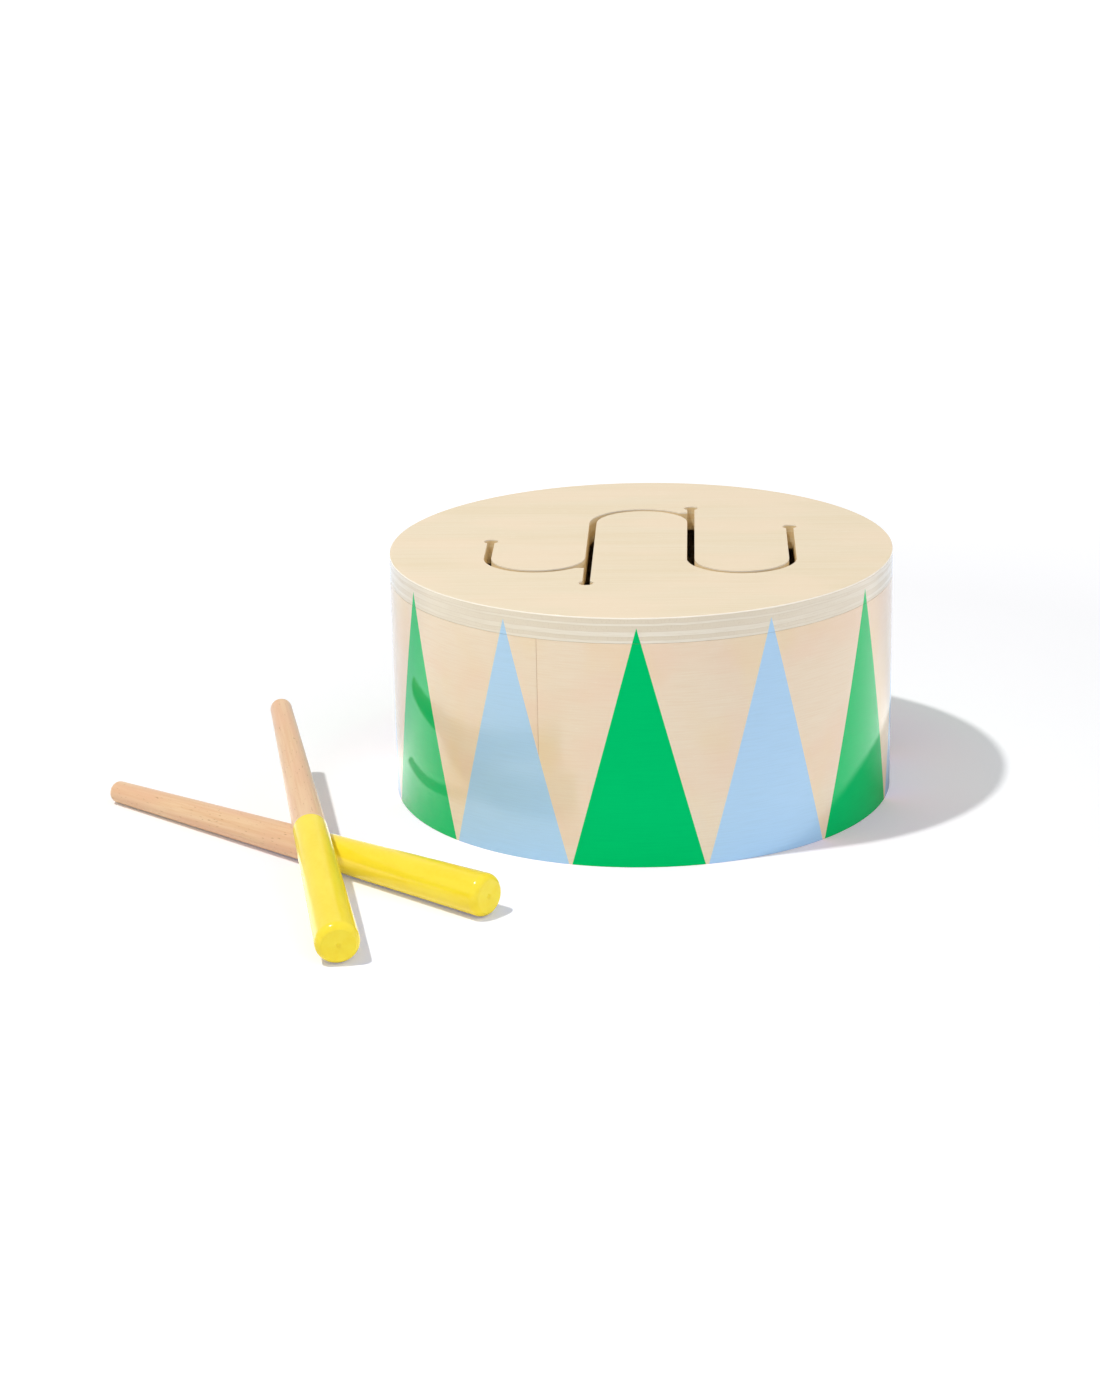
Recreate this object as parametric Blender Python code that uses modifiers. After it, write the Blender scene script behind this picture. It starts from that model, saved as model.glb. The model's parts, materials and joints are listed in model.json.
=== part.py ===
"""Toy slit drum: a slotted plywood top on a bent plywood wall, with two turned beech sticks.

Metres, +Z up. The origin is on the drum's axis, on the surface that the drum stands on. The front is -Y.
Angles round the drum are measured from the front, positive towards +X.
"""

from math import asin, cos, pi, radians, sin

import bmesh
import bpy
from mathutils import Matrix, Vector

# Drum body
DRUM_RADIUS = 0.100
DRUM_HEIGHT = 0.0985
TOP_THICKNESS = 0.010
WALL_THICKNESS = 0.004
BOTTOM_THICKNESS = 0.004
ARRIS = 0.0004
ROUND_STEPS = 96

# Butt seam of the bent wall, and the batten glued behind it
SEAM_ANGLE = radians(-22.0)
SEAM_GAP = 0.0003
BATTEN_WIDTH = 0.028
BATTEN_THICKNESS = 0.003
BATTEN_STEPS = 8

# Glue line or resting clearance between two pieces
CLEARANCE = 0.0003

# Slots in the top: one winding run and two straight branches, with a round relief at each free end
SLOT_WIDTH = 0.003
SLOT_PITCH = 0.040
RELIEF_RADIUS = 0.0029
LEFT_BEND_Y = -0.017
MIDDLE_BEND_Y = 0.034
RIGHT_BEND_Y = -0.020
LEFT_END_Y = 0.007
FRONT_END_Y = -0.0535
REAR_END_Y = 0.0565
RIGHT_END_Y = 0.0265
CUSP_FLAT = 0.0036
BEND_STEPS = 16
RELIEF_STEPS = 16
CUTTER_MARGIN = 0.002

# Printed triangles round the wall, green and blue in turn
TRIANGLE_COUNT = 12
TRIANGLE_HEIGHT = 0.0945
TRIANGLE_SPACE = 0.0012

# Sticks: a straight taper, a flat head with a rounded edge, a domed tail
STICK_LENGTH = 0.202
HEAD_RADIUS = 0.00825
TAIL_RADIUS = 0.0044
HEAD_ROUNDING = 0.0022
TAIL_DOME = 0.003
CENTRE_MARK_RADIUS = 0.0008
CENTRE_MARK_DEPTH = 0.0004
DIP_LENGTH = 0.0905
STICK_STEPS = 32
CORNER_STEPS = 5

# Where the sticks lie: the plan place of each head, and the plan direction from head to tail
LOWER_HEAD = Vector((-0.0533, -0.1490))
LOWER_HEADING = radians(142.1)
UPPER_HEAD = Vector((-0.1035, -0.1938))
UPPER_HEADING = radians(102.7)

# Colours, sRGB
PLYWOOD = "EBDCB9"
WALL_WOOD = "E6CFB3"
INNER_WOOD = "C9AE86"
BEECH = "E5BF96"
GREEN = "00B45F"
BLUE = "A8C8E6"
YELLOW = "FBE03C"

# Sizes worked out from those above
SHELL_HEIGHT = DRUM_HEIGHT - TOP_THICKNESS - CLEARANCE
INNER_RADIUS = DRUM_RADIUS - WALL_THICKNESS
TOP_UNDERSIDE = DRUM_HEIGHT - TOP_THICKNESS
BEND_RADIUS = SLOT_PITCH / 2
HALF_SLOT = SLOT_WIDTH / 2
TRIANGLE_PITCH = 2 * pi / TRIANGLE_COUNT
HALF_BASE = TRIANGLE_PITCH / 2 - TRIANGLE_SPACE / (2 * DRUM_RADIUS)


def linear(code):
    """The linear colour of an sRGB hex code."""
    channels = [int(code[i:i + 2], 16) / 255 for i in (0, 2, 4)]
    return [c / 12.92 if c <= 0.04045 else ((c + 0.055) / 1.055) ** 2.4 for c in channels] + [1.0]


def material(name, code, roughness):
    """A Principled material of one colour."""
    made = bpy.data.materials.new(name)
    made.use_nodes = True
    shader = made.node_tree.nodes["Principled BSDF"]
    shader.inputs["Base Color"].default_value = linear(code)
    shader.inputs["Roughness"].default_value = roughness
    shader.inputs["Metallic"].default_value = 0.0
    made.diffuse_color = linear(code)
    return made


def clear_scene():
    """Remove the objects that are in the file."""
    for item in list(bpy.data.objects):
        bpy.data.objects.remove(item)


def collection(name):
    """A new collection in the scene."""
    made = bpy.data.collections.new(name)
    bpy.context.scene.collection.children.link(made)
    return made


def add_object(name, mesh, home, materials=()):
    """Put a mesh in the scene, smooth over its round faces."""
    made = bpy.data.objects.new(name, mesh)
    for item in materials:
        mesh.materials.append(item)
    mesh.shade_smooth()
    mesh.set_sharp_from_angle(angle=radians(30))
    home.objects.link(made)
    return made


def mesh_from(bm, name):
    """Turn a bmesh into a mesh with its faces pointing out."""
    bmesh.ops.recalc_face_normals(bm, faces=bm.faces)
    mesh = bpy.data.meshes.new(name)
    bm.to_mesh(mesh)
    bm.free()
    return mesh


def settle_modifiers(item):
    """Give an object the mesh that its modifiers make, so that its faces can be painted."""
    graph = bpy.context.evaluated_depsgraph_get()
    mesh = bpy.data.meshes.new_from_object(item.evaluated_get(graph))
    item.modifiers.clear()
    item.data = mesh
    mesh.shade_smooth()
    mesh.set_sharp_from_angle(angle=radians(30))


def polyline(name, points):
    """A mesh of edges through points."""
    bm = bmesh.new()
    corners = [bm.verts.new(p) for p in points]
    for first, second in zip(corners, corners[1:]):
        bm.edges.new((first, second))
    mesh = bpy.data.meshes.new(name)
    bm.to_mesh(mesh)
    bm.free()
    return mesh


def add_screw(item, angle, steps, closed):
    """Turn an object's profile about Z."""
    turn = item.modifiers.new("turn", 'SCREW')
    turn.angle = angle
    turn.steps = steps
    turn.render_steps = steps
    turn.use_smooth_shade = True
    turn.use_merge_vertices = closed
    turn.merge_threshold = 0.00001


def around(angle, radius, height):
    """The point at an angle round the drum, a radius and a height."""
    return Vector((radius * sin(angle), -radius * cos(angle), height))


def disc(name, radius, low, high, steps, centre=(0.0, 0.0)):
    """A flat round mesh between two heights."""
    bm = bmesh.new()
    place = Matrix.Translation((centre[0], centre[1], (low + high) / 2))
    bmesh.ops.create_cone(bm, cap_ends=True, segments=steps, radius1=radius, radius2=radius,
                          depth=high - low, matrix=place)
    return mesh_from(bm, name)


def block(name, low, high):
    """A box between two corners."""
    bm = bmesh.new()
    size = Vector(high) - Vector(low)
    middle = (Vector(high) + Vector(low)) / 2
    place = Matrix.Translation(middle) @ Matrix.Diagonal((*size, 1.0))
    bmesh.ops.create_cube(bm, size=1.0, matrix=place)
    return mesh_from(bm, name)


def bent_strip(name, angle, width, radius, thickness, low, high, steps, home, materials):
    """A strip of ply bent round the drum's axis, its middle at an angle and its outer face at a radius."""
    start = around(angle - width / 2, radius, 0)
    profile = polyline(name, [start + Vector((0, 0, high)), start + Vector((0, 0, low))])
    strip = add_object(name, profile, home, materials)
    add_screw(strip, width, steps, closed=False)
    wall = strip.modifiers.new("thickness", 'SOLIDIFY')
    wall.thickness = thickness
    wall.offset = -1.0
    wall.use_even_offset = True
    return strip


def triangle_frame(index):
    """The outward and sideways directions at the middle of a printed triangle."""
    angle = index * TRIANGLE_PITCH
    return around(angle, 1.0, 0.0), Vector((cos(angle), sin(angle), 0.0))


def print_triangles(item, materials):
    """Cut the sides of the printed triangles into an object's round outer face, and colour them."""
    mesh = item.data
    for colour in materials:
        mesh.materials.append(colour)
    first_colour = len(mesh.materials) - len(materials)
    half_base = DRUM_RADIUS * sin(HALF_BASE)
    bm = bmesh.new()
    bm.from_mesh(mesh)

    def on_print(face, outward):
        on_outside = face.calc_center_median().xy.length > DRUM_RADIUS - 2 * ARRIS
        return on_outside and face.normal.dot(outward) > cos(TRIANGLE_PITCH)

    for index in range(TRIANGLE_COUNT):
        outward, sideways = triangle_frame(index)
        tip = outward * DRUM_RADIUS + Vector((0, 0, TRIANGLE_HEIGHT))
        for side in (-1, 1):
            slant = sideways * side * half_base - Vector((0, 0, TRIANGLE_HEIGHT))
            faces = [f for f in bm.faces if on_print(f, outward)]
            edges = {e for f in faces for e in f.edges}
            corners = {v for f in faces for v in f.verts}
            bmesh.ops.bisect_plane(bm, geom=[*faces, *edges, *corners], dist=0.000001,
                                   plane_co=tip, plane_no=outward.cross(slant).normalized())
        for face in [f for f in bm.faces if on_print(f, outward)]:
            middle = face.calc_center_median()
            if abs(middle.dot(sideways)) < half_base * (1 - middle.z / TRIANGLE_HEIGHT):
                face.material_index = first_colour + index % len(materials)
    bm.to_mesh(mesh)
    bm.free()


def extruded_ring(bm, ring, travel):
    """Extrude a ring of edges and return the new ring."""
    made = bmesh.ops.extrude_edge_only(bm, edges=ring)["geom"]
    bmesh.ops.translate(bm, verts=[v for v in made if isinstance(v, bmesh.types.BMVert)], vec=travel)
    return [e for e in made if isinstance(e, bmesh.types.BMEdge)]


def spun_ring(bm, ring, centre, angle):
    """Turn a ring of edges about an upright axis and return the last ring."""
    corners = list({v for e in ring for v in e.verts})
    made = bmesh.ops.spin(bm, geom=[*corners, *ring], cent=centre, axis=(0, 0, 1), angle=angle,
                          steps=BEND_STEPS, use_duplicate=False)["geom_last"]
    return [e for e in made if isinstance(e, bmesh.types.BMEdge)]


def winding_slot(low, high):
    """The run of the slot from the left relief to the right one, swept from its cross-section."""
    bm = bmesh.new()
    left, right = -1.5 * SLOT_PITCH - HALF_SLOT, -1.5 * SLOT_PITCH + HALF_SLOT
    outline = [(left, low), (right, low), (right, high), (left, high)]
    section = [bm.verts.new((x, LEFT_END_Y, z)) for x, z in outline]
    ring = [bm.edges.new((section[i - 1], section[i])) for i in range(len(section))]
    ring = extruded_ring(bm, ring, (0, LEFT_BEND_Y - LEFT_END_Y, 0))
    ring = spun_ring(bm, ring, (-SLOT_PITCH, LEFT_BEND_Y, 0), pi)
    ring = extruded_ring(bm, ring, (0, MIDDLE_BEND_Y - LEFT_BEND_Y, 0))
    ring = spun_ring(bm, ring, (0, MIDDLE_BEND_Y, 0), -pi)
    ring = extruded_ring(bm, ring, (0, RIGHT_BEND_Y - MIDDLE_BEND_Y, 0))
    ring = spun_ring(bm, ring, (SLOT_PITCH, RIGHT_BEND_Y, 0), pi)
    extruded_ring(bm, ring, (0, RIGHT_END_Y - RIGHT_BEND_Y, 0))
    bmesh.ops.holes_fill(bm, edges=[e for e in bm.edges if e.is_boundary])
    return mesh_from(bm, "winding_slot")


def prism(name, outline, low, high):
    """An upright solid on a plan outline."""
    bm = bmesh.new()
    foot = bm.faces.new([bm.verts.new((x, y, low)) for x, y in outline])
    made = bmesh.ops.extrude_face_region(bm, geom=[foot])["geom"]
    raised = [v for v in made if isinstance(v, bmesh.types.BMVert)]
    bmesh.ops.translate(bm, verts=raised, vec=(0, 0, high - low))
    return mesh_from(bm, name)


def cusp_trim(name, centre, away, low, high):
    """A cutter that blunts the sharp corner where a bend runs into a straight branch.

    centre is the bend's centre, and away is +1 or -1 along Y, from the centre towards the branch.
    """
    bend_edge = BEND_RADIUS + HALF_SLOT
    branch_edge = BEND_RADIUS - HALF_SLOT
    flat_x = branch_edge - CUSP_FLAT
    flat_y = (bend_edge ** 2 - flat_x ** 2) ** 0.5
    tip_y = (bend_edge ** 2 - branch_edge ** 2) ** 0.5 - HALF_SLOT
    inward = BEND_RADIUS / bend_edge
    corners = [(flat_x * inward, flat_y * inward), (flat_x, flat_y),
               (BEND_RADIUS, flat_y), (BEND_RADIUS, tip_y)]
    return prism(name, [(centre[0] + x, centre[1] + away * y) for x, y in corners], low, high)


def slot_cutters(home):
    """Everything that is cut through the top, as separate cutters."""
    low, high = TOP_UNDERSIDE - CUTTER_MARGIN, DRUM_HEIGHT + CUTTER_MARGIN
    left, right = -SLOT_PITCH / 2, SLOT_PITCH / 2
    reliefs = {"left": (-1.5 * SLOT_PITCH, LEFT_END_Y), "front": (left, FRONT_END_Y),
               "rear": (right, REAR_END_Y), "right": (1.5 * SLOT_PITCH, RIGHT_END_Y)}
    meshes = [
        winding_slot(low, high),
        block("front_branch", (left - HALF_SLOT, FRONT_END_Y, low), (left + HALF_SLOT, LEFT_BEND_Y, high)),
        block("rear_branch", (right - HALF_SLOT, MIDDLE_BEND_Y, low), (right + HALF_SLOT, REAR_END_Y, high)),
        cusp_trim("front_cusp", (-SLOT_PITCH, LEFT_BEND_Y), -1, low, high),
        cusp_trim("rear_cusp", (0.0, MIDDLE_BEND_Y), 1, low, high),
    ]
    meshes += [disc(f"{end}_relief", RELIEF_RADIUS, low, high, RELIEF_STEPS, centre)
               for end, centre in reliefs.items()]
    for mesh in meshes:
        cutter = add_object(mesh.name, mesh, home)
        cutter.hide_render = True
        cutter.display_type = 'WIRE'


def top_plate(home, cutters, wood, colours):
    """The plywood top, with the slots that leave three tongues in it."""
    blank = disc("top_plate", DRUM_RADIUS, TOP_UNDERSIDE, DRUM_HEIGHT, ROUND_STEPS)
    plate = add_object("top_plate", blank, home, [wood])
    cut = plate.modifiers.new("slots", 'BOOLEAN')
    cut.operation = 'DIFFERENCE'
    cut.operand_type = 'COLLECTION'
    cut.collection = cutters
    cut.solver = 'EXACT'
    ease = plate.modifiers.new("arris", 'BEVEL')
    ease.width = ARRIS
    ease.segments = 1
    ease.limit_method = 'ANGLE'
    ease.angle_limit = radians(50)
    settle_modifiers(plate)
    print_triangles(plate, colours)
    return plate


def shell(home, wood, colours):
    """The wall, a sheet of thin ply bent round until its ends meet at the seam."""
    sweep = 2 * pi - SEAM_GAP / DRUM_RADIUS
    wall = bent_strip("shell", SEAM_ANGLE + pi, sweep, DRUM_RADIUS, WALL_THICKNESS, 0.0, SHELL_HEIGHT,
                      ROUND_STEPS, home, [wood])
    settle_modifiers(wall)
    print_triangles(wall, colours)
    return wall


def seam_batten(home, wood):
    """The batten behind the seam, standing on the bottom plate and reaching up to the top."""
    radius = INNER_RADIUS - CLEARANCE
    return bent_strip("seam_batten", SEAM_ANGLE, BATTEN_WIDTH / radius, radius, BATTEN_THICKNESS,
                      BOTTOM_THICKNESS + CLEARANCE, TOP_UNDERSIDE - CLEARANCE, BATTEN_STEPS, home, [wood])


def bottom_plate(home, wood):
    """The thin plate let into the wall's lower end, level with its edge."""
    mesh = disc("bottom_plate", INNER_RADIUS - CLEARANCE, 0.0, BOTTOM_THICKNESS, ROUND_STEPS)
    return add_object("bottom_plate", mesh, home, [wood])


def radius_at(distance):
    """A stick's radius at a distance from the face of its head."""
    return HEAD_RADIUS + (TAIL_RADIUS - HEAD_RADIUS) * distance / STICK_LENGTH


def stick_profile():
    """A stick's half section as (radius, distance from the head's face), from the tail's pole down."""
    dome_radius = radius_at(STICK_LENGTH - TAIL_DOME)
    points = [(0.0, STICK_LENGTH)]
    for step in range(1, CORNER_STEPS + 1):
        turn = pi / 2 * step / CORNER_STEPS
        points.append((dome_radius * sin(turn), STICK_LENGTH - TAIL_DOME * (1 - cos(turn))))
    points.append((radius_at(DIP_LENGTH), DIP_LENGTH))
    corner = radius_at(HEAD_ROUNDING)
    for step in range(CORNER_STEPS + 1):
        turn = pi / 2 * step / CORNER_STEPS
        points.append((corner - HEAD_ROUNDING * (1 - cos(turn)), HEAD_ROUNDING * (1 - sin(turn))))
    points += [(CENTRE_MARK_RADIUS, 0.0), (0.0, CENTRE_MARK_DEPTH)]
    return points


def resting_height(tilt):
    """Height of the head's centre when a stick with this tilt touches the table at its lowest point."""
    return max(radius * cos(tilt) - distance * sin(tilt) for radius, distance in stick_profile())


def stick_axis(heading, tilt):
    """Direction of a stick from head to tail."""
    return Vector((cos(heading) * cos(tilt), sin(heading) * cos(tilt), sin(tilt)))


def crossing_space(upper_tilt, lower_tilt):
    """Space between the two sticks where they cross; negative if they would overlap."""
    lower_axis = stick_axis(LOWER_HEADING, lower_tilt)
    upper_axis = stick_axis(UPPER_HEADING, upper_tilt)
    lower_start = Vector((*LOWER_HEAD, resting_height(lower_tilt)))
    upper_start = Vector((*UPPER_HEAD, resting_height(upper_tilt)))
    between = upper_start - lower_start
    across = lower_axis.cross(upper_axis)
    on_lower = between.cross(upper_axis).dot(across) / across.length_squared
    on_upper = between.cross(lower_axis).dot(across) / across.length_squared
    return abs(between.dot(across)) / across.length - radius_at(on_lower) - radius_at(on_upper)


def resting_tilts():
    """Tilts of the lower stick, which lies along its side, and of the upper one, which leans on it."""
    lower_tilt = -asin((HEAD_RADIUS - TAIL_RADIUS) / STICK_LENGTH)
    flat, steep = 0.0, pi / 4
    while steep - flat > 0.000001:
        middle = (flat + steep) / 2
        if crossing_space(middle, lower_tilt) < CLEARANCE:
            flat = middle
        else:
            steep = middle
    return lower_tilt, steep


def stick(name, head, heading, tilt, home, wood, paint):
    """A turned stick, its head dipped in paint."""
    profile = polyline(name, [(radius, 0.0, distance) for radius, distance in stick_profile()])
    made = add_object(name, profile, home, [wood, paint])
    add_screw(made, 2 * pi, STICK_STEPS, closed=True)
    settle_modifiers(made)
    for face in made.data.polygons:
        face.material_index = 1 if face.center.z < DIP_LENGTH else 0
    made.location = (*head, resting_height(tilt))
    made.rotation_mode = 'QUATERNION'
    made.rotation_quaternion = stick_axis(heading, tilt).to_track_quat('Z', 'Y')
    return made


def build():
    """Model the whole object."""
    clear_scene()
    parts = collection("wooden_drum")
    cutters = collection("cutters")
    plywood = material("plywood_face", PLYWOOD, 0.5)
    wall_wood = material("lacquered_wall", WALL_WOOD, 0.35)
    inner_wood = material("raw_plywood", INNER_WOOD, 0.7)
    beech = material("beech", BEECH, 0.45)
    colours = [material("green_print", GREEN, 0.3), material("blue_print", BLUE, 0.3)]
    yellow = material("yellow_dip", YELLOW, 0.25)

    slot_cutters(cutters)
    top_plate(parts, cutters, plywood, colours)
    shell(parts, wall_wood, colours)
    seam_batten(parts, inner_wood)
    bottom_plate(parts, inner_wood)
    lower_tilt, upper_tilt = resting_tilts()
    stick("lower_stick", LOWER_HEAD, LOWER_HEADING, lower_tilt, parts, beech, yellow)
    stick("upper_stick", UPPER_HEAD, UPPER_HEADING, upper_tilt, parts, beech, yellow)


build()
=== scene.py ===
"""Looks of the toy slit drum: bent plywood wall with printed triangles, slotted top, two dipped sticks.

Metres, +Z up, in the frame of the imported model. The drum stands on Z = 0 on its own axis, its front at -Y.
Angles round the drum are measured from the front, positive towards +X.
"""

import json
import logging
from dataclasses import dataclass
from enum import Enum
from math import cos, pi, radians, sin
from typing import Callable, Iterable, Sequence

import bmesh
import bpy
import numpy as np
from mathutils import Matrix, Vector

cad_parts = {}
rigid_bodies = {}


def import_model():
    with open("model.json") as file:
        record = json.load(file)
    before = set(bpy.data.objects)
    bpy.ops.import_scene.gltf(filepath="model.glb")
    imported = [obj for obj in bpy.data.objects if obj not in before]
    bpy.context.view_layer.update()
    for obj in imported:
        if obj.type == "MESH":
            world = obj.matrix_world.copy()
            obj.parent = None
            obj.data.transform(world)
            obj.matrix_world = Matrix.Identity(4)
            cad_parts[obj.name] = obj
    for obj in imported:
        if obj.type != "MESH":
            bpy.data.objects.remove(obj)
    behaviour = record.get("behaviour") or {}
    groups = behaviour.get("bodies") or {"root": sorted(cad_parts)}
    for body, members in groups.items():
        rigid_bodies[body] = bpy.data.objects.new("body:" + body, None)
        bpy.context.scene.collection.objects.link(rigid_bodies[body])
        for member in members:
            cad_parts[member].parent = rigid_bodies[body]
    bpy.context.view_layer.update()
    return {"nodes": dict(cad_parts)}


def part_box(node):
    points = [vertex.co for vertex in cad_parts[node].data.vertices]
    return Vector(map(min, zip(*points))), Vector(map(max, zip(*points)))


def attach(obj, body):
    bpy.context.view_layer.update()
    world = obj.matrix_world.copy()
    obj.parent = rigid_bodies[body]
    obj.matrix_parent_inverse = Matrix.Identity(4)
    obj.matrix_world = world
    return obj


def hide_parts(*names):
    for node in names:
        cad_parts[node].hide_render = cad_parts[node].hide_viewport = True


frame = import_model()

log = logging.getLogger("slit_drum")

MM = 0.001
MERGE = 0.000001
END_ROOM = 0.02 * MM  # keeps a stick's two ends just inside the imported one's
CORNER = radians(60.0)  # angle between two faces from which the edge between them is a real corner

Node = bpy.types.Node
Socket = bpy.types.NodeSocket
Source = Node | Socket
Colour = tuple[float, float, float, float]
Reach = tuple[float, float]
Place = tuple[float, float, float]
BMesh = bmesh.types.BMesh
BMVert = bmesh.types.BMVert
BMEdge = bmesh.types.BMEdge
BMFace = bmesh.types.BMFace
Mesh = bpy.types.Mesh
Material = bpy.types.Material
Piece = bpy.types.Object
Tree = bpy.types.NodeTree


class Ray(Enum):
    """Light paths that see the white surroundings at full strength."""

    CAMERA = "Is Camera Ray"
    GLOSSY = "Is Glossy Ray"
    TRANSMISSION = "Is Transmission Ray"


def linear(code: str) -> Colour:
    """Turn an sRGB hex code into a linear colour.

    Args:
        code: Six hex digits.

    Returns:
        Red, green, blue and an alpha of one.
    """
    channels = [int(code[i:i + 2], 16) / 255 for i in (0, 2, 4)]
    red, green, blue = (c / 12.92 if c <= 0.04045 else ((c + 0.055) / 1.055) ** 2.4 for c in channels)
    return red, green, blue, 1.0


def feed(tree: Tree, source: Colour | Source | Sequence[float] | float, target: Socket) -> None:
    """Link an input to what feeds it, or set its value.

    Args:
        tree: Node tree.
        source: The value, the output, or the node whose first output in use feeds the input.
        target: The input.
    """
    if isinstance(source, Node):
        source = next(output for output in source.outputs if output.enabled)
    if isinstance(source, Socket):
        tree.links.new(source, target)
    else:
        target.default_value = source


def add_node(tree: Tree, kind: str, inputs: dict | None = None, **settings) -> Node:
    """Add a shader node with its settings, values and links.

    Args:
        tree: Node tree that gets the node.
        kind: Node type, without "ShaderNode" in front.
        inputs: Name or number of each input, with its value, or the output or node that feeds it.
        settings: Properties of the node, such as operation.

    Returns:
        The new node.
    """
    node = tree.nodes.new("ShaderNode" + kind)
    for name, value in settings.items():
        setattr(node, name, value)
    for name, value in (inputs or {}).items():
        feed(tree, value, node.inputs[name])
    return node


def around(angle: float, radius: float, height: float) -> Vector:
    """Find the point at an angle round the drum, a distance from its axis and a height."""
    return Vector((radius * sin(angle), -radius * cos(angle), height))


def finished_mesh(bm: BMesh, name: str) -> Mesh:
    """Merge a bmesh's doubles, point its faces out and turn it into a smooth mesh.

    Args:
        bm: The bmesh, which is freed.
        name: Name of the mesh.

    Returns:
        The mesh.
    """
    bmesh.ops.remove_doubles(bm, verts=bm.verts, dist=MERGE)
    bmesh.ops.recalc_face_normals(bm, faces=bm.faces)
    mesh = bpy.data.meshes.new(name)
    bm.to_mesh(mesh)
    bm.free()
    mesh.shade_smooth()
    return mesh


def show(mesh: Mesh, materials: Sequence[Material] = ()) -> Piece:
    """Put a mesh in the scene at the origin, under its own name.

    Args:
        mesh: The mesh, in place.
        materials: Its materials, in the order that its faces number them.

    Returns:
        The piece.
    """
    piece = bpy.data.objects.new(mesh.name, mesh)
    for material in materials:
        mesh.materials.append(material)
    bpy.context.scene.collection.objects.link(piece)
    return piece


def finished_piece(bm: BMesh, name: str, materials: Sequence[Material]) -> Piece:
    """Turn a bmesh into a piece whose large faces rule its shading, so that flats stay flat.

    Args:
        bm: The bmesh, which is freed.
        name: Name of the piece.
        materials: Its materials, in the order that its faces number them.

    Returns:
        The piece.
    """
    piece = show(finished_mesh(bm, name), materials)
    weights = piece.modifiers.new("even_shading", 'WEIGHTED_NORMAL')
    weights.mode = 'FACE_AREA'
    weights.weight = 100
    return piece


def add_disc(bm: BMesh, radius: float, low: float, high: float, steps: int, x: float = 0.0,
             y: float = 0.0) -> None:
    """Add a closed round plate, its middle at X and Y, to a bmesh."""
    bmesh.ops.create_cone(bm, cap_ends=True, segments=steps, radius1=radius, radius2=radius, depth=high - low,
                          matrix=Matrix.Translation((x, y, (low + high) / 2)))


def add_outline(bm: BMesh, corners: Iterable[Sequence[float]]) -> list[BMEdge]:
    """Add the closed outline with these corners to a bmesh, and give its edges."""
    points = [bm.verts.new(corner) for corner in corners]
    return [bm.edges.new((points[i - 1], points[i])) for i in range(len(points))]


def spin_round(bm: BMesh, steps: int) -> None:
    """Spin all that a bmesh holds right round the Z axis."""
    bmesh.ops.spin(bm, geom=[*bm.verts, *bm.edges], cent=(0, 0, 0), axis=(0, 0, 1), angle=2 * pi, steps=steps,
                   use_merge=True, use_duplicate=False)


def cut_along(bm: BMesh, faces: Iterable[BMFace], point: Vector, normal: Vector) -> None:
    """Cut some faces along the plane through a point."""
    edges, corners = {e for f in faces for e in f.edges}, {v for f in faces for v in f.verts}
    bmesh.ops.bisect_plane(bm, geom=[*faces, *edges, *corners], dist=MERGE, plane_co=point, plane_no=normal)


def rim_edges(bm: BMesh, radius: float, height: float) -> list[BMEdge]:
    """Find the edges that run round a rim.

    Args:
        bm: The bmesh.
        radius: Radius of the rim.
        height: Height of the rim.

    Returns:
        The rim's edges.
    """
    near = 10 * MERGE

    def on_rim(vertex: BMVert) -> bool:
        """Say whether a vertex lies on the rim."""
        return abs(vertex.co.z - height) < near and abs(vertex.co.xy.length - radius) < near

    return [e for e in bm.edges if all(on_rim(v) for v in e.verts)]


def ease(bm: BMesh, edges: list[BMEdge], width: float, segments: int) -> None:
    """Round some edges, as far as a width to each side of them."""
    bmesh.ops.bevel(bm, geom=edges, offset=width, offset_type='OFFSET', affect='EDGES',
                    segments=segments, profile=0.5, material=-1)


@dataclass(frozen=True)
class Gloss:
    """How a surface shines.

    Attributes:
        roughness: Its roughness.
        ior: Its refractive index.
        level: Strength of its reflection, with 0.5 for that of the index alone.
    """

    roughness: float
    ior: float = 1.45
    level: float = 0.5


@dataclass(frozen=True)
class Marks:
    """Marks of one kind in a surface, such as streaks, patches, flecks or pores.

    Attributes:
        tone: Their colour, as sRGB hex.
        size: Size of one along each axis of the pattern, in millimetres.
        share: How much of their tone shows where they are full.
        low: Strength of the noise where they begin.
        high: Strength of the noise where they are full.
        detail: Octaves of finer noise.
        shift: Offset that tells one noise from another.
        relief: Height of the noise in the surface, in millimetres.
    """

    tone: str
    size: tuple[float, float, float]
    share: float
    low: float
    high: float
    detail: float = 2.0
    shift: float = 0.0
    relief: float = 0.0


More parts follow.
